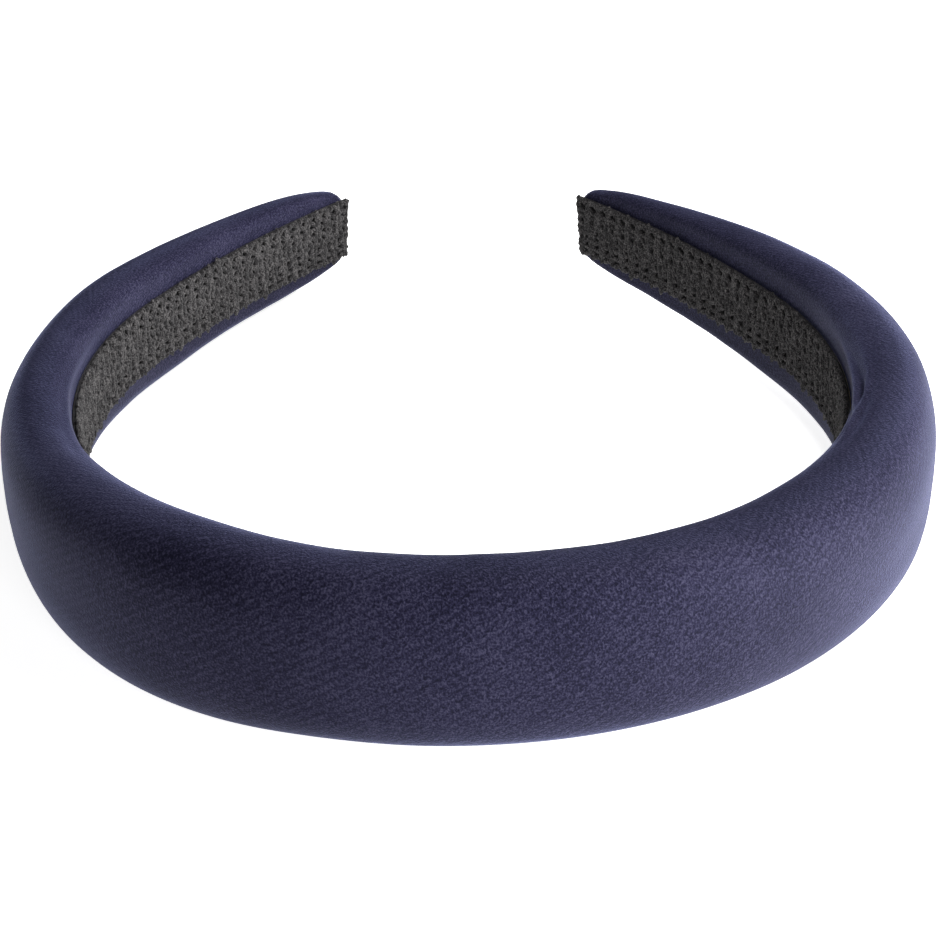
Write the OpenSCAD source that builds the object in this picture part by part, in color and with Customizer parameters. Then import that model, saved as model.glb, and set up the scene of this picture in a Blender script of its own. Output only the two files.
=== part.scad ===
// Padded hair band of the kind worn over the crown of the head: a springy
// plastic strip bent to a horseshoe, a foam pad glued along its outside, a
// satin cover drawn round both and a knitted tape that hides the cover's hems.
//
// The band lies on one long edge. +Z is up, the crown faces -Y, the two tips
// point towards +Y and the band is the same on both sides of the YZ plane.
// Every layer is drawn as two halves that part at the crown, where the band
// springs open. Right is +X.

/* [Outline of the band] */
// Radius of the crown arc, on the inner face
crown_r = 61; // [52:0.5:75]
// Angle that the crown arc turns through on each side of the middle
crown_turn = 72; // [62:0.5:76]
// Radius of each side arc, on the inner face
side_r = 77; // [66:0.5:95]
// Angle that each side arc turns through
side_turn = 42; // [34:0.5:46]
// Radius of the nearly straight arc that runs out to each tip
tip_r = 220; // [150:5:320]
// Angle that each tip arc turns through
tip_turn = 15.5; // [10:0.5:18]

/* [Section of the band] */
// Width of the band over the crown and sides
band_w = 25.4; // [20:0.2:34]
// Width of the band where its tips start to round off
tip_w = 16.4; // [14.4:0.2:19]
// Width that is left at the very end of a tip
end_w = 12.4; // [11:0.2:14]
// Share of each half, from the crown, that keeps the full width
full_w_share = 0.45; // [0.3:0.05:0.6]
// Length of the rounding at each tip
tip_round = 14; // [8:0.5:20]
// Thickness of the padded band at the crown
band_t = 14.1; // [10:0.1:20]
// Thickness of the padded band at its tips
tip_t = 3.8; // [3.1:0.1:6]
// Width of the soft round where the cover turns on to the inner face
inner_round = 4.5; // [3:0.1:6]

/* [Spring band and foam] */
// Thickness of the plastic spring band
spring_t = 1.4; // [0.9:0.1:1.7]
// How far the spring band stops short of each end of the cover
spring_short = 0.8; // [0.6:0.1:3]
// How far the foam pad stops short of each end of the cover
foam_short = 3; // [1.5:0.5:8]
// Slack between the foam pad and the cover drawn over it
foam_ease = 0.1; // [0:0.05:0.3]

/* [Cover and lining] */
// Thickness of the satin with its backing
cover_t = 0.5; // [0.3:0.05:0.6]
// Gap between the two hems of the cover on the inner face
hem_gap = 3; // [1:0.5:6]
// Width of the knitted lining tape
lining_w = 12.2; // [9:0.2:14]
// Thickness of the knitted lining tape
lining_t = 1.2; // [0.6:0.1:2]
// How far the lining tape stands out past each tip
lining_past = 1.2; // [0:0.1:3]
// Thickness of each film of glue
glue_t = 0.1; // [0.05:0.05:0.2]
// How far each film of glue stays in from the edges it holds
glue_inset = 0.5; // [0.2:0.1:1]

/* [Crown] */
// Gap between the two halves where they part
crown_gap = 0.3; // [0.1:0.1:0.6]

/* [Hidden] */

// Where the layers of cloth, glue and plastic lie, measured outwards from the
// inner face of the cover
spring_in = cover_t + glue_t;
spring_out = spring_in + spring_t;
foam_in = spring_out + glue_t;
lining_out = -glue_t;
lining_in = lining_out - lining_t;

// How sharply the padded section turns: 2 is an ellipse, more is squarer
outer_power = 2.6;
inner_power = 2.4;
// How the width and the thickness fall away from the crown to a tip
width_power = 1.75;
thick_power = 2.4;

// What the bevels take off the edges of the tape and of the spring band
tape_bevel = lining_t / 4;
spring_bevel = spring_t / 5;

// Steps along a half, steps round its tip, and steps round the section
run_steps = 22;
round_steps = 5;
corner_steps = 4;
side_steps = 2;
crown_steps = 6;
// Degrees of the section that its side steps are spread over
side_arc = 10;
// A station this near to the end of a layer is dropped in favour of the end
station_join = 0.05;

// Lengths of the three arcs, end to end, on the inner face
crown_len = crown_r * crown_turn * PI / 180;
side_len = side_r * side_turn * PI / 180;
tip_len = tip_r * tip_turn * PI / 180;
half_len = crown_len + side_len + tip_len;
start_s = crown_gap / 2;
round_s = half_len - tip_round;

// Points and directions where one arc hands over to the next
side_turned = crown_turn + side_turn;
end_turn = side_turned + tip_turn;
side_at = arc_end([0, 0], 0, crown_r, crown_turn);
tip_at = arc_end(side_at, crown_turn, side_r, side_turned);
end_at = arc_end(tip_at, side_turned, tip_r, end_turn);

// The row of places along a half where every layer has a section
stations = concat(
    [for (i = [0 : run_steps - 1]) start_s + (round_s - start_s) * i / run_steps],
    [for (i = [0 : round_steps]) round_s + tip_round * sin(90 * i / round_steps)]
);

// The band stands with the middle of its outline box on the Z axis
front_y = -band_t;
back_y = max(
    end_at.y - tip_t * cos(end_turn),
    inner_place(half_len + lining_past).y - lining_in * cos(end_turn),
    inner_place(half_len + lining_past).y - lining_out * cos(end_turn)
);
mid_y = (front_y + back_y) / 2;

satin_navy = [0.16, 0.16, 0.27];
tape_black = [0.17, 0.17, 0.18];
spring_black = [0.10, 0.10, 0.11];
foam_white = [0.92, 0.90, 0.84];
glue_clear = [0.86, 0.80, 0.62];

// Where an arc that starts at a point with one heading ends with another
function arc_end(from, h0, r, h1) =
    from + r * [sin(h1) - sin(h0), cos(h0) - cos(h1)];

// Heading of the inner face at a length s from the crown
function heading(s) =
    s < crown_len ? s / crown_r * 180 / PI :
    s < crown_len + side_len ? crown_turn + (s - crown_len) / side_r * 180 / PI :
    side_turned + (s - crown_len - side_len) / tip_r * 180 / PI;

// Point of the inner face at a length s from the crown
function inner_place(s) =
    s < crown_len ? arc_end([0, 0], 0, crown_r, heading(s)) :
    s < crown_len + side_len ? arc_end(side_at, crown_turn, side_r, heading(s)) :
    arc_end(tip_at, side_turned, tip_r, heading(s));

// The stations of a layer that ends at a length s
function up_to(s) =
    concat([for (k = stations) if (k < min(s, half_len) - station_join) k], [s]);

// Width and thickness of the padded band at a length s
function along(s) = min(s / half_len, 1);
function taper(s) = max(0, (along(s) - full_w_share) / (1 - full_w_share));
function rounding(s) = min(1, max(0, (s - round_s) / tip_round));
function width(s) =
    band_w - (band_w - tip_w) * pow(taper(s), width_power)
    - (tip_w - end_w) * (1 - sqrt(1 - pow(rounding(s), 2)));
function thick(s) = band_t - (band_t - tip_t) * pow(along(s), thick_power);

// The inner face is flat out to here on each side of its middle
function corner(s) = inner_round * thick(s) / band_t;
function flat_half(s) = width(s) / 2 - corner(s);

// Angle round the section at which the foam starts, level with the glue
function foam_angle(s) =
    let (mid = thick(s) / 2)
    let (reach = (foam_in - mid) / (mid - cover_t - foam_ease))
    reach < 0 ? -asin(pow(-reach, inner_power / 2)) : asin(pow(reach, outer_power / 2));

// Angles from the flat inner face up one side to the middle of the outside
function foam_angles(s) =
    let (low = foam_angle(s), side = max(0, low + side_arc))
    concat(
        [for (i = [0 : side_steps]) low + (side - low) * i / side_steps],
        [for (i = [1 : crown_steps]) side + (90 - side) * i / crown_steps]
    );
function corner_angles(s) =
    let (low = foam_angle(s))
    [for (i = [0 : corner_steps - 1]) -90 + (low + 90) * i / corner_steps];

// Point of the padded section, a depth in from its surface, at an angle. The
// first value runs across the band and the second outwards from the head.
function pad_point(s, depth, a) =
    let (mid = thick(s) / 2, half = width(s) / 2)
    let (power = 2 / (a < 0 ? inner_power : outer_power))
    let (across = a < 0 ? corner(s) : half)
    [
        half - across + (across - depth) * pow(cos(a), power),
        mid + (mid - depth) * sign(a) * pow(abs(sin(a)), power)
    ];

// A half section and its mirror image, joined at the middle of the outside
function both_sides(half) = concat(
    half,
    [for (i = [len(half) - 2 : -1 : 0]) [-half[i].x, half[i].y]]
);

// Section of the cover, from one hem over the outside to the other hem
function cover_section(s, depth) =
    let (angles = concat(corner_angles(s), foam_angles(s)))
    both_sides(concat(
        [[hem_gap / 2, depth]],
        [for (a = angles) pad_point(s, depth, a)]
    ));

// Section of the foam, flat where it lies on the spring band
function foam_section(s) =
    both_sides([for (a = foam_angles(s)) pad_point(s, cover_t + foam_ease, a)]);

// Section of a flat strip with its four edges broken by a bevel
function strip_section(half, low, high, bevel) = [
    [half - bevel, low], [half, low + bevel],
    [half, high - bevel], [half - bevel, high],
    [bevel - half, high], [-half, high - bevel],
    [-half, low + bevel], [bevel - half, low]
];

// Section of a film that spans from one place across the band to another
function film_section(from, to, low, high) =
    [[to, low], [to, high], [from, high], [from, low]];

// A section stood up across the band at a length s
function ring(s, section) =
    let (at = inner_place(s), h = heading(s))
    [for (p = section) [at.x + p.y * sin(h), at.y - p.y * cos(h) - mid_y, band_w / 2 + p.x]];

// The faces of a skin over a row of rings of n points, open or closed
function skin_faces(rows, n, closed, first = 0, flip = false) = [
    for (i = [0 : rows - 2], k = [0 : closed ? n - 1 : n - 2])
        let (a = first + i * n + k, b = first + i * n + (k + 1) % n)
        let (quad = [a, a + n, b + n, b])
        each split(flip ? [quad[3], quad[2], quad[1], quad[0]] : quad, flip)
];

// Two triangles in place of a four-cornered face, cut the same way each time
function split(q, flip) = flip ?
    [[q[0], q[1], q[3]], [q[1], q[2], q[3]]] :
    [[q[0], q[1], q[2]], [q[0], q[2], q[3]]];

// A flat face over a ring of n points, as a fan from the ring's middle point
function fan_faces(n, first, flip) =
    let (mid = floor(n / 2))
    [
        for (k = [0 : n - 1])
            let (next = (k + 1) % n)
            if (k != mid && next != mid)
                flip ? [first + next, first + k, first + mid]
                     : [first + k, first + next, first + mid]
    ];

// A solid drawn through a row of closed rings
module loft(rings) {
    n = len(rings[0]);
    last = (len(rings) - 1) * n;
    polyhedron(
        points = [for (r = rings, p = r) p],
        faces = concat(
            skin_faces(len(rings), n, true),
            [[for (k = [0 : n - 1]) k]],
            [[for (k = [n - 1 : -1 : 0]) last + k]]
        ),
        convexity = 4
    );
}

// A cloth sleeve between an outer and an inner row of open rings, which is
// split along the hems, cut square at its start and sewn shut at its end
module sleeve(outer, inner) {
    n = len(outer[0]);
    rows = len(outer);
    under = rows * n;
    last = (rows - 1) * n;
    polyhedron(
        points = concat([for (r = outer, p = r) p], [for (r = inner, p = r) p]),
        faces = concat(
            skin_faces(rows, n, false),
            skin_faces(rows, n, false, under, true),
            [for (k = [0 : n - 2]) each split([k, k + 1, under + k + 1, under + k], false)],
            [for (i = [0 : rows - 2])
                each split([i * n, under + i * n, under + (i + 1) * n, (i + 1) * n], false)],
            [for (i = [0 : rows - 2], e = n - 1)
                each split([i * n + e, (i + 1) * n + e, under + (i + 1) * n + e, under + i * n + e],
                    false)],
            split([last, under + last, under + last + n - 1, last + n - 1], false),
            fan_faces(n, last, true),
            fan_faces(n, under + last, false)
        ),
        convexity = 6
    );
}

// A strip that follows the band, with a half width given at each station
module strip(end_s, low, high, bevel, half_at) {
    loft([for (s = up_to(end_s)) ring(s, strip_section(half_at(s), low, high, bevel))]);
}

// The satin cover of one half, with its end closed over the tip
module satin_cover() {
    color(satin_navy)
        sleeve(
            [for (s = up_to(half_len)) ring(s, cover_section(s, 0))],
            [for (s = up_to(half_len)) ring(min(s, half_len - cover_t),
                cover_section(s, cover_t))]
        );
}

// The knitted tape that lines one half and stands out past the tip
module lining_tape() {
    color(tape_black)
        strip(half_len + lining_past, lining_in, lining_out, tape_bevel,
            function (s) lining_w / 2);
}

// The film that holds the tape to the hems
module lining_glue() {
    half = lining_w / 2 - glue_inset;
    color(glue_clear)
        loft([for (s = up_to(half_len - glue_inset))
            ring(s, film_section(-half, half, lining_out, 0))]);
}

// The two films that hold the hems to the spring band
module hem_glue() {
    color(glue_clear)
        for (side = [-1, 1])
            loft([for (s = up_to(half_len - spring_short - glue_inset))
                let (edge = flat_half(s) - glue_inset, hem = hem_gap / 2 + glue_inset)
                ring(s, film_section(side < 0 ? -edge : hem, side < 0 ? -hem : edge,
                    cover_t, spring_in))]);
}

// The moulded strip that gives the band its shape and its grip
module spring_band() {
    color(spring_black)
        strip(half_len - spring_short, spring_in, spring_out, spring_bevel,
            function (s) flat_half(s));
}

// The film that holds the foam to the spring band
module foam_glue() {
    color(glue_clear)
        loft([for (s = up_to(half_len - foam_short - glue_inset))
            let (edge = flat_half(s) - glue_inset)
            ring(s, film_section(-edge, edge, spring_out, foam_in))]);
}

// The foam pad of one half, skived thin towards the tip
module foam_pad() {
    color(foam_white)
        loft([for (s = up_to(half_len - foam_short)) ring(s, foam_section(s))]);
}

// The left half is the right half's mirror image
module on_left() {
    mirror([1, 0, 0])
        children();
}

module satin_cover_left() { on_left() satin_cover(); }
module satin_cover_right() { satin_cover(); }
module lining_tape_left() { on_left() lining_tape(); }
module lining_tape_right() { lining_tape(); }
module lining_glue_left() { on_left() lining_glue(); }
module lining_glue_right() { lining_glue(); }
module hem_glue_left() { on_left() hem_glue(); }
module hem_glue_right() { hem_glue(); }
module spring_band_left() { on_left() spring_band(); }
module spring_band_right() { spring_band(); }
module foam_glue_left() { on_left() foam_glue(); }
module foam_glue_right() { foam_glue(); }
module foam_pad_left() { on_left() foam_pad(); }
module foam_pad_right() { foam_pad(); }

satin_cover_left();
satin_cover_right();
lining_tape_left();
lining_tape_right();
lining_glue_left();
lining_glue_right();
hem_glue_left();
hem_glue_right();
spring_band_left();
spring_band_right();
foam_glue_left();
foam_glue_right();
foam_pad_left();
foam_pad_right();
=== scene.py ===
import bisect
import functools
from math import asin, cos, exp, pi, radians, sin, sqrt

import bmesh
import bpy
from mathutils import Matrix, Vector, noise


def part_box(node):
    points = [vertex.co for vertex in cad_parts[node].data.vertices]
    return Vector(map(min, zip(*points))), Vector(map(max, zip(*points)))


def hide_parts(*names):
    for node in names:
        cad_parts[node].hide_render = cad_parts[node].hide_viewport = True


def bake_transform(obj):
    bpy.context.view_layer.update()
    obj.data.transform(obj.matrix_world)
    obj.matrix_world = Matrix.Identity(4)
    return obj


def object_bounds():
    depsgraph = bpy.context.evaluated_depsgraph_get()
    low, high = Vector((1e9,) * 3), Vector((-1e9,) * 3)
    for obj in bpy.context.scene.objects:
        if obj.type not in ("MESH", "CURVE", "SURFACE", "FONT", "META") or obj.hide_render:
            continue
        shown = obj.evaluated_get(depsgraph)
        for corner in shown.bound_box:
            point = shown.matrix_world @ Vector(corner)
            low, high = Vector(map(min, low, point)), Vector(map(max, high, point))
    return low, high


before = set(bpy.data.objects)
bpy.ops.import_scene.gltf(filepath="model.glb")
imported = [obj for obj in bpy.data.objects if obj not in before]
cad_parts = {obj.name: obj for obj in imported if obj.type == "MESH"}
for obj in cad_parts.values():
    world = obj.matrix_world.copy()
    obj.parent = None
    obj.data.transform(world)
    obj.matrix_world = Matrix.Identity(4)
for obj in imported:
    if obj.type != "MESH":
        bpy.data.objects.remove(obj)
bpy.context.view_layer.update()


# Spring band: one strip of black plastic, moulded straight and bent hot to a
# horseshoe. Its edges are rounded, it stops just inside both ends of the cover,
# and it is what the foam, the hems and the lining are all glued to.
cover_low, cover_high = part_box("satin_cover_right")
band_width = cover_high.z - cover_low.z
band_middle = (cover_high.z + cover_low.z) / 2
inner_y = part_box("lining_glue_right")[0].y
crown_thickness = inner_y - cover_low.y

crown_radius, crown_turn = 0.061, radians(72)
side_radius, side_turn = 0.077, radians(42)
tip_radius, tip_turn = 0.220, radians(15.5)
crown_length = crown_radius * crown_turn
side_length = side_radius * side_turn
half_length = crown_length + side_length + tip_radius * tip_turn

tip_width, end_width, tip_thickness = 0.0164, 0.0124, 0.0038
full_width_share, tip_rounding, inner_round = 0.45, 0.014, 0.0045
width_power, thickness_power = 1.75, 2.4
outer_power, inner_power = 2.6, 2.4

cover_thickness, glue_thickness, spring_thickness = 0.0005, 0.0001, 0.0014
spring_inside = cover_thickness + glue_thickness
spring_outside = spring_inside + spring_thickness
spring_short, spring_edge_round = 0.0008, 0.0004


def arc_end(start, heading, radius, new_heading):
    """Where an arc ends that leaves start at one heading and stops at another."""
    return start + radius * Vector((sin(new_heading) - sin(heading),
                                    cos(heading) - cos(new_heading)))


crown_end = arc_end(Vector((0, 0)), 0, crown_radius, crown_turn)
side_end = arc_end(crown_end, crown_turn, side_radius, crown_turn + side_turn)


def inner_face(length):
    """Point and heading of the inner face, a length from the crown on the right."""
    if length < crown_length:
        heading = length / crown_radius
        return arc_end(Vector((0, 0)), 0, crown_radius, heading), heading
    if length < crown_length + side_length:
        heading = crown_turn + (length - crown_length) / side_radius
        return arc_end(crown_end, crown_turn, side_radius, heading), heading
    heading = crown_turn + side_turn + (length - crown_length - side_length) / tip_radius
    return arc_end(side_end, crown_turn + side_turn, tip_radius, heading), heading


def on_band(length, across, out):
    """A place on the band: along it from the crown, right positive, then up
    from its middle line, then outwards from its inner face."""
    side = -1 if length < 0 else 1
    point, heading = inner_face(abs(length))
    return Vector((side * (point.x + out * sin(heading)),
                   point.y - out * cos(heading) + inner_y,
                   band_middle + across))


def width_at(length):
    """Width of the padded band, which narrows to its tips and rounds off."""
    share = min(abs(length) / half_length, 1)
    taper = max(0, (share - full_width_share) / (1 - full_width_share))
    rounding = min(1, max(0, abs(length) - half_length + tip_rounding) / tip_rounding)
    return (band_width - (band_width - tip_width) * taper ** width_power
            - (tip_width - end_width) * (1 - sqrt(1 - rounding ** 2)))


def thickness_at(length):
    """Thickness of the padded band, which is skived thin towards its tips."""
    share = min(abs(length) / half_length, 1)
    return crown_thickness - (crown_thickness - tip_thickness) * share ** thickness_power


def corner_at(length):
    """Width of the soft round on each side of the flat inner face."""
    return inner_round * thickness_at(length) / crown_thickness


def flat_half_at(length):
    """Half the width of the flat inner face, which the spring band fills."""
    return width_at(length) / 2 - corner_at(length)


def even_points(points, count):
    """Points evenly spaced along a broken line, from its first to its last."""
    lengths = [0]
    for before, after in zip(points, points[1:]):
        lengths.append(lengths[-1] + (after - before).length)
    spaced = []
    for i in range(count):
        target = lengths[-1] * i / (count - 1)
        k = min(max(bisect.bisect_right(lengths, target), 1), len(points) - 1)
        span = lengths[k] - lengths[k - 1]
        spaced.append(points[k - 1].lerp(points[k], (target - lengths[k - 1]) / span))
    return spaced


def lay_grid(bm, across_steps, along_steps, place, flat_size):
    """Lays a flat grid over the shape that place gives for two shares from 0 to
    1, and scales its UV map to the size of the material before it was formed."""
    before = set(bm.faces)
    made = bmesh.ops.create_grid(bm, x_segments=across_steps, y_segments=along_steps,
                                 size=1, calc_uvs=True)
    shares = [((vert.co.x + 1) / 2, (vert.co.y + 1) / 2) for vert in made["verts"]]
    for vert, share in zip(made["verts"], shares):
        vert.co = place(*share)
    uv = bm.loops.layers.uv.verify()
    for face in bm.faces:
        if face not in before:
            for loop in face.loops:
                loop[uv].uv = (loop[uv].uv.x * flat_size[0], loop[uv].uv.y * flat_size[1])
    return list(zip(made["verts"], shares))


def new_grid_mesh():
    """An empty bmesh with the UV map that the cloth and yarn patterns follow."""
    bm = bmesh.new()
    bm.loops.layers.uv.new("flat")
    return bm


def close_tube(bm, seam_gap=1e-7):
    """Sews a grid that meets itself into a tube and closes its two ends."""
    bmesh.ops.remove_doubles(bm, verts=bm.verts, dist=seam_gap)
    bmesh.ops.holes_fill(bm, edges=[e for e in bm.edges if e.is_boundary], sides=0)
    bmesh.ops.recalc_face_normals(bm, faces=bm.faces)


corner_steps, strip_sides = 4, 28


def strip_ring(half, low, high, rounding):
    """Closed section of a flat strip whose four edges are rounded."""
    corners = [(half - rounding, low + rounding, -90), (half - rounding, high - rounding, 0),
               (rounding - half, high - rounding, 90), (rounding - half, low + rounding, 180)]
    points = [Vector((0, low))]
    for across, out, start in corners:
        for step in range(corner_steps + 1):
            turn = radians(start + 90 * step / corner_steps)
            points.append(Vector((across + rounding * cos(turn), out + rounding * sin(turn))))
    return points + [Vector((0, low))]


def lay_strip(bm, end_length, half_width, low, high, rounding, along_steps, middle=None):
    """Lays a rounded strip along the band, as wide as half_width says."""
    @functools.cache
    def ring(length):
        return even_points(strip_ring(half_width(length), low, high, rounding), strip_sides + 1)

    def place(around, along):
        length = round((2 * along - 1) * end_length, 9)
        point = ring(length)[round(around * strip_sides)]
        return on_band(length, point.x + (middle(length) if middle else 0), point.y)
    lay_grid(bm, strip_sides, along_steps, place, (2 * half_width(0), 2 * end_length))
    return bm


def finish_piece(bm, name, material, nodes):
    """Makes the bmesh an object with this material and smooth shading, and hides the parts of
    model.glb that it stands for.
    """
    mesh = bpy.data.meshes.new(name)
    bm.to_mesh(mesh)
    bm.free()
    mesh.materials.append(material)
    mesh.shade_smooth()
    piece = bpy.data.objects.new(name, mesh)
    bpy.context.scene.collection.objects.link(piece)
    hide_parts(*nodes)
    return piece


def bend_at_crown(piece):
    """Bakes the piece's placement into its mesh."""
    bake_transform(piece)


def start_material(name, **sockets):
    """A material whose even values are set on its shader's own sockets."""
    material = bpy.data.materials.new(name)
    material.use_nodes = True
    shader = material.node_tree.nodes["Principled BSDF"]
    for socket, value in sockets.items():
        shader.inputs[socket.replace("_", " ")].default_value = value
    return material, shader


def add_node(material, kind, settings=None, **sockets):
    """A node with these settings, and these even values on its sockets."""
    node = material.node_tree.nodes.new("ShaderNode" + kind)
    for name, value in (settings or {}).items():
        setattr(node, name, value)
    for name, value in sockets.items():
        node.inputs[name.replace("_", " ")].default_value = value
    return node


def join(material, *route):
    """Joins nodes in a row: node, output, input, node, output, input, node."""
    for i in range(0, len(route) - 3, 3):
        material.node_tree.links.new(route[i].outputs[route[i + 1]],
                                     route[i + 3].inputs[route[i + 2]])


def add_ramp(material, *stops):
    """A colour ramp with a stop at each place given."""
    ramp = add_node(material, "ValToRGB")
    for i, (place, colour) in enumerate(stops):
        stop = ramp.color_ramp.elements[i] if i < 2 else ramp.color_ramp.elements.new(place)
        stop.position = place
        stop.color = (*colour, 1)
    return ramp


def add_range(material, low, high):
    """Maps a pattern from 0 to 1 on to a range."""
    return add_node(material, "MapRange", To_Min=low, To_Max=high)


spring_plastic, shader = start_material("spring_plastic", Specular_IOR_Level=0.45)
where = add_node(spring_plastic, "TexCoord")
flow = add_node(spring_plastic, "TexNoise", Scale=60, Detail=4)
grain = add_node(spring_plastic, "TexNoise", Scale=2600, Detail=2)
shade = add_ramp(spring_plastic, (0.3, (0.008, 0.008, 0.009)), (0.75, (0.018, 0.018, 0.02)))
gloss = add_range(spring_plastic, 0.34, 0.52)
pits = add_node(spring_plastic, "Bump", Strength=0.35, Distance=0.00003)
join(spring_plastic, where, "Object", "Vector", flow, "Fac", "Fac", shade,
     "Color", "Base Color", shader)
join(spring_plastic, where, "Object", "Vector", grain, "Fac", "Height", pits,
     "Normal", "Normal", shader)
join(spring_plastic, grain, "Fac", "Value", gloss, "Result", "Roughness", shader)

bm = new_grid_mesh()
lay_strip(bm, half_length - spring_short, flat_half_at, spring_inside, spring_outside,
          spring_edge_round, 200)
close_tube(bm)
spring_band = finish_piece(bm, "spring_band", spring_plastic,
                           ["spring_band_left", "spring_band_right"])
bend_at_crown(spring_band)


# Foam glue: a thin film of contact cement rolled on the outside of the spring
# band, a little short of its edges. It holds the foam pad.
glue_inset, foam_short = 0.0005, 0.003
foam_inside = spring_outside + glue_thickness

glue_clear, shader = start_material("dried_glue", Transmission_Weight=0.35, IOR=1.48)
where = add_node(glue_clear, "TexCoord")
strokes = add_node(glue_clear, "TexNoise", Scale=300, Detail=5, Distortion=0.6)
tint = add_ramp(glue_clear, (0.3, (0.15, 0.12, 0.07)), (0.7, (0.21, 0.19, 0.13)))
gloss = add_range(glue_clear, 0.25, 0.55)
ripples = add_node(glue_clear, "Bump", Strength=0.4, Distance=0.00005)
join(glue_clear, where, "Object", "Vector", strokes, "Fac", "Fac", tint,
     "Color", "Base Color", shader)
join(glue_clear, strokes, "Fac", "Value", gloss, "Result", "Roughness", shader)
join(glue_clear, strokes, "Fac", "Height", ripples, "Normal", "Normal", shader)


def film_half_at(length):
    """Half the width of a film that stays in from the spring band's edges."""
    return flat_half_at(length) - glue_inset


bm = new_grid_mesh()
lay_strip(bm, half_length - foam_short - glue_inset, film_half_at, spring_outside,
          foam_inside, glue_thickness / 4, 160)
close_tube(bm)
foam_glue = finish_piece(bm, "foam_glue", glue_clear, ["foam_glue_left", "foam_glue_right"])
bend_at_crown(foam_glue)


# Foam pad: white open-cell foam, cut as a strip, skived thin to both ends and
# rounded by the cover that is pulled over it. It gives the band its plump shape.
foam_ease = 0.0001
# Where along the band the padding is fuller or thinner than even, how far that
# reaches to each side, and by how much
uneven_padding = [(-0.178, 0.016, 0.0006), (-0.100, 0.024, -0.0014), (-0.074, 0.014, -0.0009),
                  (-0.036, 0.017, 0.0009), (0.070, 0.024, 0.0006), (0.138, 0.034, 0.0008)]
crown_lean, crown_lean_reach = 0.0008, 0.030
widening = 0.8
foam_sides, foam_rows, arc_steps = 56, 260, 40


def fullness_at(length):
    """How much fuller than even the padding is here."""
    return sum(most * exp(-((length - place) / reach) ** 2)
               for place, reach, most in uneven_padding)


def leaned(length, point):
    """The padding over the crown stands up a little towards the upper edge."""
    rise = max(0, point.x) / (band_width / 2) * crown_lean
    return Vector((point.x + rise * exp(-(length / crown_lean_reach) ** 2), point.y))


def pad_point(length, depth, angle):
    """Point of the padded section, a depth in from its surface. The angle runs
    from -90 degrees at the flat inner face to 90 at the middle of the outside."""
    full = fullness_at(length)
    middle = (thickness_at(length) + full) / 2
    half = width_at(length) / 2 + full * widening
    power = 2 / (inner_power if angle < 0 else outer_power)
    reach = corner_at(length) if angle < 0 else half
    rise = abs(sin(angle)) ** power * (-1 if angle < 0 else 1)
    return Vector((half - reach + (reach - depth) * max(cos(angle), 0) ** power,
                   middle + (middle - depth) * rise))


@functools.cache
def foam_ring(length):
    """Closed section of the foam, flat where it lies on the spring band."""
    depth = cover_thickness + foam_ease
    middle = (thickness_at(length) + fullness_at(length)) / 2
    reach = (foam_inside - middle) / (middle - depth)
    low = asin(abs(reach) ** ((inner_power if reach < 0 else outer_power) / 2))
    low = -low if reach < 0 else low
    side = [pad_point(length, depth, low + (pi / 2 - low) * i / arc_steps)
            for i in range(arc_steps + 1)]
    over = side + [Vector((-p.x, p.y)) for p in reversed(side[:-1])]
    return even_points(over + [side[0]], foam_sides + 1)


def foam_place(around, along):
    length = round((2 * along - 1) * (half_length - foam_short), 9)
    point = leaned(length, foam_ring(length)[round(around * foam_sides)])
    return on_band(length, point.x, point.y)


foam_white, shader = start_material("open_cell_foam", Roughness=0.95, Subsurface_Weight=0.25,
                                    Subsurface_Scale=0.002)
where = add_node(foam_white, "TexCoord")
cells = add_node(foam_white, "TexVoronoi", Scale=1600)
walls = add_node(foam_white, "TexNoise", Scale=900, Detail=4)
tint = add_ramp(foam_white, (0.0, (0.86, 0.82, 0.70)), (0.6, (0.93, 0.91, 0.84)))
pores = add_node(foam_white, "Bump", Strength=0.8, Distance=0.0003)
join(foam_white, where, "Object", "Vector", cells, "Distance", "Height", pores,
     "Normal", "Normal", shader)
join(foam_white, where, "Object", "Vector", walls, "Fac", "Fac", tint,
     "Color", "Base Color", shader)

bm = new_grid_mesh()
lay_grid(bm, foam_sides, foam_rows, foam_place, (2 * band_width, 2 * half_length))
close_tube(bm)
foam_pad = finish_piece(bm, "foam_pad", foam_white, ["foam_pad_left", "foam_pad_right"])
bend_at_crown(foam_pad)


# Hem glue: two films of the same cement on the inside of the spring band, one
# under each hem of the cover, with the gap between the hems left dry.
hem_gap = 0.003
hem_start = hem_gap / 2 + glue_inset


def hem_film_half(length):
    """Half the width of one film, from near the hem's edge to the round."""
    return (flat_half_at(length) - glue_inset - hem_start) / 2


bm = new_grid_mesh()
for side in (-1, 1):
    lay_strip(bm, half_length - spring_short - glue_inset, hem_film_half, cover_thickness,
              spring_inside, glue_thickness / 4, 160,
              middle=lambda length: side * (hem_start + hem_film_half(length)))
close_tube(bm)
hem_glue = finish_piece(bm, "hem_glue", glue_clear, ["hem_glue_left", "hem_glue_right"])
bend_at_crown(hem_glue)


# Satin cover: one strip of navy satin with a soft backing, drawn tight round
# the foam and glued to the spring band along both hems. Its ends are folded in
# over the tips, and the stretch round the outside leaves small drags inside.
satin_thickness = 0.00045
cover_columns, cover_rows = 124, 360
tip_fold = 0.0026
folded_end = 2 * satin_thickness + 0.00005
wrap_steps = 60

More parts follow.
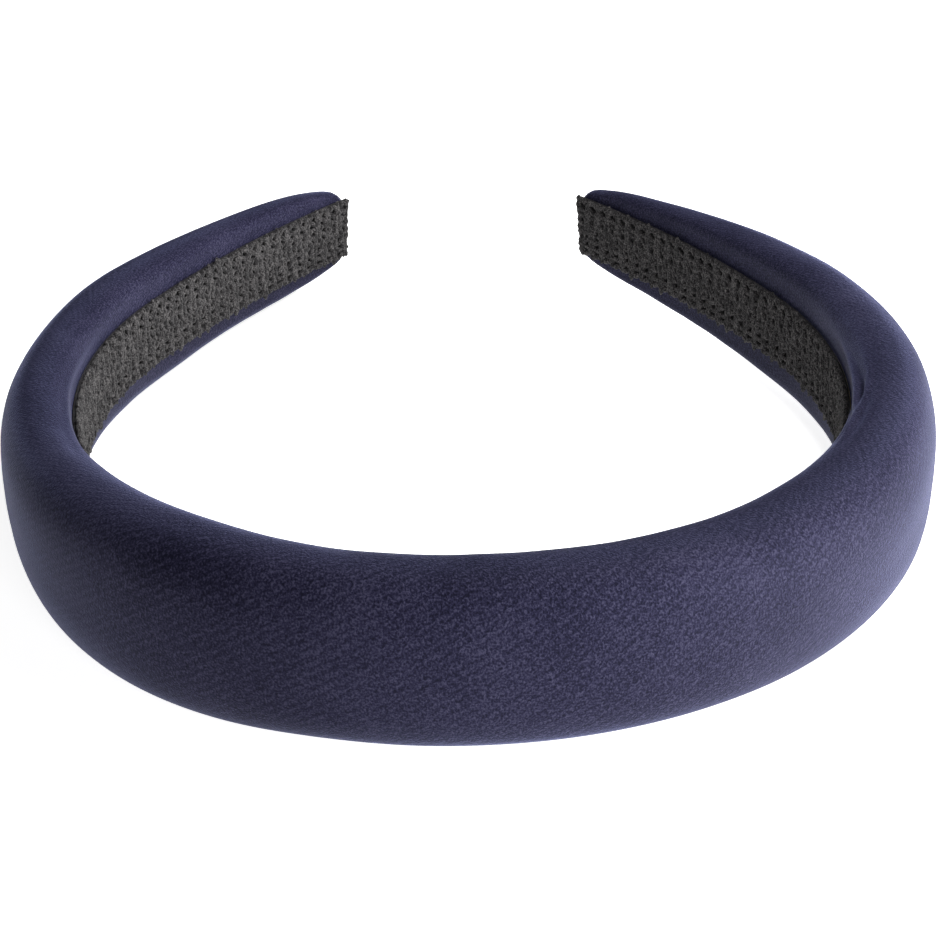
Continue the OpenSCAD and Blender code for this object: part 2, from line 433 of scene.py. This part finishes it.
# Folds at the inner edge: where each starts along the band and round the wrap,
# where it ends, how high it stands and half its width
creases = [(0.066, 0.652, 0.106, 0.775, 0.00058, 0.00058),
           (0.062, 0.660, 0.088, 0.640, 0.00042, 0.00050),
           (0.078, 0.690, 0.112, 0.760, 0.00020, 0.00085),
           (0.076, 0.622, 0.100, 0.655, 0.00014, 0.00065),
           (-0.060, 0.650, -0.092, 0.735, 0.00020, 0.00080),
           (-0.084, 0.705, -0.112, 0.770, 0.00018, 0.00090),
           (0.055, -0.640, 0.090, -0.720, 0.00024, 0.00080),
           (-0.058, -0.650, -0.088, -0.725, 0.00022, 0.00080)]


# How deep and how far off the hollows beside a fold are, in its own heights and
# half widths, and how much of its length it holds its height for
hollow_depth, hollow_off, fold_hold = 0.45, 1.8, 0.42


@functools.cache
def cover_ring(length):
    """Open section of the cover, from one hem over the outside to the other."""
    side = [Vector((hem_gap / 2, 0))]
    side += [pad_point(length, 0, radians(angle)) for angle in range(-90, 91, 2)]
    return even_points(side[::-1], wrap_steps + 1)


def wrap_length(length):
    """Length round the section, from hem to hem."""
    ring = cover_ring(length)
    return 2 * sum((b - a).length for a, b in zip(ring, ring[1:]))


def folded_in(length, out):
    """The outside comes down to a double fold at each end of the cover."""
    left = min(1, (half_length - abs(length)) / tip_fold)
    share = sqrt(max(0, 1 - (1 - left) ** 2))
    return out if out < folded_end else folded_end + (out - folded_end) * share


def crease(length, share):
    """The sharp folds where the satin is drawn over the inner edge at a turn."""
    rise = 0
    for from_length, from_share, to_length, to_share, height, half_width in creases:
        part = (length - from_length) / (to_length - from_length)
        if -0.3 < part < 1.3:
            middle = from_share + (to_share - from_share) * part
            middle += 0.008 * sin(3 * part)
            off = (share - middle) * cover_wrap / 2 / half_width
            fade = exp(-((part - 0.5) / fold_hold) ** 4)
            rise += height * fade * (exp(-off ** 2)
                                     - hollow_depth * exp(-(off - hollow_off) ** 2)
                                     - hollow_depth * exp(-(off + hollow_off) ** 2))
    return rise


def drag(length, share):
    """How far the satin stands off its even shape, along and round the band."""
    here = Vector((length * 30, share * 3.0, 1.7))
    soft = noise.noise(here) * 0.00022 + noise.noise(here * 2.7) * 0.00008 - 0.00005
    rim = max(0, 1 - abs(abs(share) - 0.60) / 0.22)
    tuck = noise.noise(Vector((length * 170, share * 5, 9.1)))
    return soft + rim ** 2 * tuck * 0.00010 + crease(length, share)


edge_share, edge_reach, edge_closeness, column_steps = 0.70, 0.09, 2.2, 400
close_columns = [0]
for step in range(column_steps):
    nearness = exp(-((step / column_steps - edge_share) / edge_reach) ** 2)
    close_columns.append(close_columns[-1] + 1 + edge_closeness * nearness)


def column_share(around):
    """Share round the wrap of a column; they stand closer at the inner edges."""
    target = abs(2 * around - 1) * close_columns[-1]
    k = min(max(bisect.bisect_right(close_columns, target), 1), column_steps)
    part = (target - close_columns[k - 1]) / (close_columns[k] - close_columns[k - 1])
    return (k - 1 + part) / column_steps * (-1 if around < 0.5 else 1)


def cover_place(around, along):
    length = max(-half_length, min(half_length, (2 * along - 1) * half_length))
    share = column_share(around)
    ring = cover_ring(round(length, 9))
    at = abs(share) * wrap_steps
    k = min(int(at), wrap_steps - 1)
    point = ring[k].lerp(ring[k + 1], at - k)
    ahead = ring[k + 1] - ring[k]
    outward = Vector((-ahead.y, ahead.x)).normalized()
    hold = min(1, (1 - abs(share)) / 0.30) * min(1, (half_length - abs(length)) / 0.004)
    point = point + outward * drag(length, share) * max(hold, 0)
    side = -1 if share < 0 else 1
    point = leaned(length, Vector((side * point.x, point.y)))
    return on_band(length, point.x, folded_in(length, point.y))


def settle_as_cloth(bm, laid, sim_scale=20, frames=14, most=0.0003):
    """Lets the cover settle as cloth: held where it is glued and where the foam
    fills it, with a little too much satin round its inner edges, as there is
    when a straight strip is drawn round a bend. No point moves further than most."""
    bm.verts.index_update()
    mesh = bpy.data.meshes.new("settling")
    bm.to_mesh(mesh)
    mesh.transform(Matrix.Scale(sim_scale, 4))
    settling = bpy.data.objects.new("settling", mesh)
    bpy.context.scene.collection.objects.link(settling)
    held = settling.vertex_groups.new(name="held")
    spare = settling.vertex_groups.new(name="spare")
    for vert, (around, along) in laid:
        share, length = abs(column_share(around)), (2 * along - 1) * half_length
        edge = exp(-((share - 0.64) / 0.13) ** 2)
        loose = 0.75 + 0.5 * noise.noise(Vector((length * 60, share, 2.2)))
        bend = exp(-((abs(length) - 0.078) / 0.045) ** 2)
        held.add([vert.index], 1 - 0.85 * edge if share < 0.8 else 1.0, "REPLACE")
        spare.add([vert.index], edge * loose * (0.35 + 0.65 * bend), "REPLACE")
    cloth = settling.modifiers.new("cloth", "CLOTH")
    cloth.settings.quality = 5
    cloth.settings.mass = 0.2
    cloth.settings.tension_stiffness = 20
    cloth.settings.compression_stiffness = 20
    cloth.settings.shear_stiffness = 8
    cloth.settings.bending_stiffness = 0.6
    cloth.settings.air_damping = 3
    cloth.settings.vertex_group_mass = "held"
    cloth.settings.pin_stiffness = 2
    cloth.settings.vertex_group_shrink = "spare"
    cloth.settings.shrink_max = -0.07
    cloth.settings.effector_weights.gravity = 0
    cloth.point_cache.frame_end = frames
    for frame_number in range(1, frames + 1):
        bpy.context.scene.frame_set(frame_number)
    settled = settling.evaluated_get(bpy.context.evaluated_depsgraph_get()).data
    for vert, _ in laid:
        move = settled.vertices[vert.index].co / sim_scale - vert.co
        vert.co += move * min(1, most / max(move.length, 1e-9))
    bpy.context.scene.frame_set(1)
    bpy.data.objects.remove(settling)


satin, shader = start_material("navy_satin", Specular_IOR_Level=0.08,
                               Specular_Tint=(0.5, 0.55, 1.0, 1), Sheen_Weight=0.22,
                               Sheen_Roughness=0.35, Sheen_Tint=(0.50, 0.55, 1.0, 1))
where = add_node(satin, "TexCoord")
clouds = add_node(satin, "TexNoise", Scale=55, Detail=3)
speckle = add_node(satin, "TexNoise", Scale=3200, Detail=2, Roughness=0.6)
turned = add_node(satin, "Mapping", Rotation=(0, 0, radians(28)))
threads = add_node(satin, "TexWave", {"bands_direction": "X"}, Scale=330, Distortion=2.5,
                   Detail=2, Detail_Scale=3)
both = add_node(satin, "Math", {"operation": "MULTIPLY_ADD"})
both.inputs[1].default_value = 0.07
all_three = add_node(satin, "Math", {"operation": "MULTIPLY_ADD"})
all_three.inputs[1].default_value = 0.25
shade = add_ramp(satin, (0.50, (0.0032, 0.0030, 0.0076)), (0.66, (0.0100, 0.0092, 0.0212)),
                 (0.86, (0.0290, 0.0275, 0.0500)))
gloss = add_range(satin, 0.58, 0.74)
weave = add_node(satin, "Bump", Strength=0.9, Distance=0.00012)
join(satin, where, "Object", "Vector", speckle, "Fac", 2, both, "Value", 2, all_three,
     "Value", "Fac", shade, "Color", "Base Color", shader)
join(satin, where, "UV", "Vector", turned, "Vector", "Vector", threads, "Fac", 0, both)
join(satin, where, "Object", "Vector", clouds, "Fac", 0, all_three)
join(satin, both, "Value", "Height", weave, "Normal", "Normal", shader)
join(satin, speckle, "Fac", "Value", gloss, "Result", "Roughness", shader)

cover_wrap = wrap_length(0)
bm = new_grid_mesh()
laid = lay_grid(bm, cover_columns, cover_rows, cover_place, (cover_wrap, 2 * half_length))
bmesh.ops.reverse_faces(bm, faces=bm.faces)
settle_as_cloth(bm, laid)
satin_cover = finish_piece(bm, "satin_cover", satin,
                           ["satin_cover_left", "satin_cover_right"])
wall = satin_cover.modifiers.new("cloth_thickness", "SOLIDIFY")
wall.thickness = satin_thickness
wall.offset = -1
bend_at_crown(satin_cover)


# Lining glue: one film down the middle of the inner face, over both hems. It
# holds the knitted tape.
lining_half = 0.0061

bm = new_grid_mesh()
lay_strip(bm, half_length - glue_inset, lambda length: lining_half - glue_inset,
          -glue_thickness, 0, glue_thickness / 4, 160)
close_tube(bm)
lining_glue = finish_piece(bm, "lining_glue", glue_clear,
                           ["lining_glue_left", "lining_glue_right"])
bend_at_crown(lining_glue)


# Lining tape: a knitted elastic tape in charcoal yarn, glued down the inner
# face to hide the hems and to grip the hair. This is its flat ground, which
# carries the raised yarn and is cut just past both tips.
lining_past = 0.0012
ground_thickness, ground_inset = 0.0003, 0.0002

charcoal, shader = start_material("charcoal_knit", Sheen_Weight=0.05, Sheen_Roughness=0.6,
                                  Roughness=0.95, Specular_IOR_Level=0.05)
where = add_node(charcoal, "TexCoord")
fuzz = add_node(charcoal, "TexNoise", Scale=5000, Detail=3)
patches = add_node(charcoal, "TexNoise", Scale=240, Detail=3)
mixed = add_node(charcoal, "Math", {"operation": "MULTIPLY_ADD"})
mixed.inputs[1].default_value = 0.5
shade = add_ramp(charcoal, (0.45, (0.007, 0.0068, 0.0078)), (0.75, (0.015, 0.014, 0.016)),
                 (1.0, (0.033, 0.032, 0.035)))
fibres = add_node(charcoal, "Bump", Strength=0.8, Distance=0.00012)
join(charcoal, where, "Object", "Vector", fuzz, "Fac", 0, mixed, "Value", "Fac", shade,
     "Color", "Base Color", shader)
join(charcoal, where, "Object", "Vector", patches, "Fac", 2, mixed)
join(charcoal, fuzz, "Fac", "Height", fibres, "Normal", "Normal", shader)

bm = new_grid_mesh()
lay_strip(bm, half_length + lining_past / 2, lambda length: lining_half - ground_inset,
          -glue_thickness - ground_thickness, -glue_thickness, ground_thickness / 3, 300)
close_tube(bm)
lining_tape = finish_piece(bm, "lining_tape", charcoal,
                           ["lining_tape_left", "lining_tape_right"])


# Lining yarn: the thick weft goes to and fro across the tape and turns in a
# loop at each edge, and eight chains of the same yarn run along it, whose
# stitches stand up in rows of soft knobs.
weft_pitch, weft_turn, edge_loop_pitch = 0.00150, 0.0057, 0.0043
weft_half_width, weft_half_height = 0.00066, 0.00040
weft_passes = 2 * round((half_length + lining_past) / weft_pitch)
chain_gap, chain_count = 0.00148, 8
yarn_middle = 0.00074
rings_a_pass, weft_sides = 18, 8
chain_sides, rings_a_stitch = 6, 6
neck_half_width, neck_half_height = 0.00046, 0.00028
knob_wider, knob_taller = 0.00028, 0.00024


def weft_point(share):
    """Place of the weft, how high it stands and how near it is to a chain."""
    passes = share * weft_passes
    length = (2 * share - 1) * (half_length + lining_past - 0.0006)
    swing = asin(0.985 * sin(pi * (passes + 0.5))) / asin(0.985)
    uneven = 1 + 0.09 * noise.noise(Vector((passes * 0.9, 0.3, 0.7)))
    uneven += 0.045 * cos(2 * pi * length / edge_loop_pitch)
    across = weft_turn * swing * uneven
    length += 0.00018 * noise.noise(Vector((passes * 0.7, 3.3, 1.1)))
    held = sin(pi * across / chain_gap) ** 2
    centre = -yarn_middle - 0.00014 * (1 - held)
    return length, across, centre, held


def weft_place(around, along):
    """A point of the yarn's skin, round the line that the weft takes."""
    length, across, centre, held = weft_point(along)
    step = 0.25 / (weft_passes * rings_a_pass)
    after = weft_point(min(1, along + step))
    before = weft_point(max(0, along - step))
    run, cross = after[0] - before[0], after[1] - before[1]
    size = sqrt(run * run + cross * cross)
    turn = 2 * pi * around
    lump = noise.noise(Vector((length * 700, across * 700, 5.5)))
    half_width = weft_half_width - 0.00012 * held + 0.00038 * lump
    wide = half_width * cos(turn)
    tall = (weft_half_height - 0.00006 * held + 0.00015 * lump) * sin(turn)
    return on_band(length + wide * cross / size, across - wide * run / size, centre - tall)


def chain_place(middle, stagger):
    """The skin of one chain: a soft knob over each pass, which leans from side
    to side, and a thinner neck between."""
    def place(around, along):
        length = (2 * along - 1) * (half_length + lining_past - 0.0012)
        stitch = 2 * pi * length / weft_pitch + stagger
        stitch += 1.3 * noise.noise(Vector((length * 210, middle * 2300, 6.4)))
        knob = 0.5 + 0.5 * cos(stitch)
        lump = 1 + 0.5 * noise.noise(Vector((length * 520, middle * 900, 3.1)))
        lean = 0.00020 * sin(stitch / 2)
        lean += 0.00016 * noise.noise(Vector((length * 300, middle * 700, 8.2)))
        turn = 2 * pi * around
        across = middle + lean + (neck_half_width + knob_wider * knob * lump) * cos(turn)
        out = -yarn_middle - 0.00008 * knob
        out -= (neck_half_height + knob_taller * knob * lump) * sin(turn)
        slant = 0.00030 * sin(stitch / 2 + 0.8) * cos(turn)
        return on_band(length + slant, across, out)
    return place


yarn, shader = start_material("charcoal_yarn", Sheen_Weight=0.06, Sheen_Roughness=0.6,
                              Roughness=0.9, Specular_IOR_Level=0.05)
where = add_node(yarn, "TexCoord")
patches = add_node(yarn, "TexNoise", Scale=850, Detail=2)
fuzz = add_node(yarn, "TexNoise", Scale=4200, Detail=3)
plies = add_node(yarn, "TexWave", {"bands_direction": "DIAGONAL"}, Scale=620, Distortion=1.5)
mixed = add_node(yarn, "Math", {"operation": "MULTIPLY_ADD"})
mixed.inputs[1].default_value = 0.4
shade = add_ramp(yarn, (0.52, (0.0034, 0.0031, 0.0035)), (0.70, (0.0145, 0.0136, 0.0145)),
                 (0.90, (0.078, 0.074, 0.074)))
twist = add_node(yarn, "Bump", Strength=0.7, Distance=0.00012)
join(yarn, where, "Object", "Vector", patches, "Fac", 0, mixed, "Value", "Fac", shade,
     "Color", "Base Color", shader)
join(yarn, where, "Object", "Vector", fuzz, "Fac", 2, mixed)
join(yarn, where, "UV", "Vector", plies, "Fac", "Height", twist, "Normal", "Normal", shader)

bm = new_grid_mesh()
lay_grid(bm, weft_sides, weft_passes * rings_a_pass, weft_place,
         (0.0028, weft_passes * 2 * weft_turn))
close_tube(bm)
lining_weft = finish_piece(bm, "lining_weft", yarn,
                           ["lining_tape_left", "lining_tape_right"])
bm = new_grid_mesh()
for i in range(chain_count):
    chain_middle = (i - (chain_count - 1) / 2) * chain_gap
    lay_grid(bm, chain_sides, weft_passes * rings_a_stitch,
             chain_place(chain_middle, pi * (i % 2)), (0.0014, 2 * half_length))
close_tube(bm)
lining_chains = finish_piece(bm, "lining_chains", yarn,
                             ["lining_tape_left", "lining_tape_right"])
for piece in (lining_tape, lining_weft, lining_chains):
    bend_at_crown(piece)


# Studio: a plain white floor that glows a little, a low soft light from the
# right, softer ones from above and from the front, and the camera a little
# above the crown.
bm = bmesh.new()
bmesh.ops.create_grid(bm, x_segments=4, y_segments=4, size=3)
bmesh.ops.translate(bm, verts=bm.verts, vec=(0, 0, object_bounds()[0][2]))
floor_mesh = bpy.data.meshes.new("floor")
bm.to_mesh(floor_mesh)
bm.free()
floor = bpy.data.objects.new("floor", floor_mesh)
bpy.context.scene.collection.objects.link(floor)
floor_white, shader = start_material("floor_white", Base_Color=(0.93, 0.93, 0.93, 1), Roughness=0.9,
                                     Specular_IOR_Level=0.1, Emission_Color=(1, 1, 1, 1),
                                     Emission_Strength=0.82)
floor_mesh.materials.append(floor_white)


def soft_light(name, power, size, place, aim):
    """A square soft box that faces a point."""
    light = bpy.data.lights.new(name, "AREA")
    light.energy = power
    light.size = size
    lamp = bpy.data.objects.new(name, light)
    lamp.location = place
    lamp.rotation_euler = (Vector(aim) - Vector(place)).to_track_quat("-Z", "Y").to_euler()
    bpy.context.scene.collection.objects.link(lamp)


soft_light("side_light", 17.0, 0.2, (0.7, -0.30, 0.06), (0, 0, 0.012))
soft_light("over_light", 3.6, 0.3, (0.35, 0.05, 0.4), (0.05, 0, 0.012))
soft_light("front_light", 3.6, 0.5, (0.15, -0.8, 0.30), (0, 0, 0.012))
soft_light("near_light", 0.30, 0.12, (0.08, -0.02, 0.22), (0.07, 0, 0.012))

world = bpy.data.worlds.new("studio_white")
world.use_nodes = True
world.node_tree.nodes["Background"].inputs["Color"].default_value = (1, 1, 1, 1)
world.node_tree.nodes["Background"].inputs["Strength"].default_value = 0.02
bpy.context.scene.world = world

view_from = Vector((0.00269, -0.2922, 0.1561))
view_to = Vector((0.00128, -0.02357, 0.0127))
roll = radians(-0.8)
look = (view_to - view_from).normalized()
level = look.cross(Vector((0, 0, 1))).normalized()
rise = level.cross(look)
turned_level = level * cos(roll) + rise * sin(roll)
turned_rise = rise * cos(roll) - level * sin(roll)
lens = bpy.data.cameras.new("studio_camera")
lens.lens = 76.1
lens.sensor_width = 36
lens.clip_start = 0.01
camera = bpy.data.objects.new("studio_camera", lens)
camera.matrix_world = (Matrix.Translation(view_from)
                       @ Matrix((turned_level, turned_rise, -look)).transposed().to_4x4())
bpy.context.scene.collection.objects.link(camera)
bpy.context.scene.camera = camera
bpy.context.scene.view_settings.view_transform = "Standard"
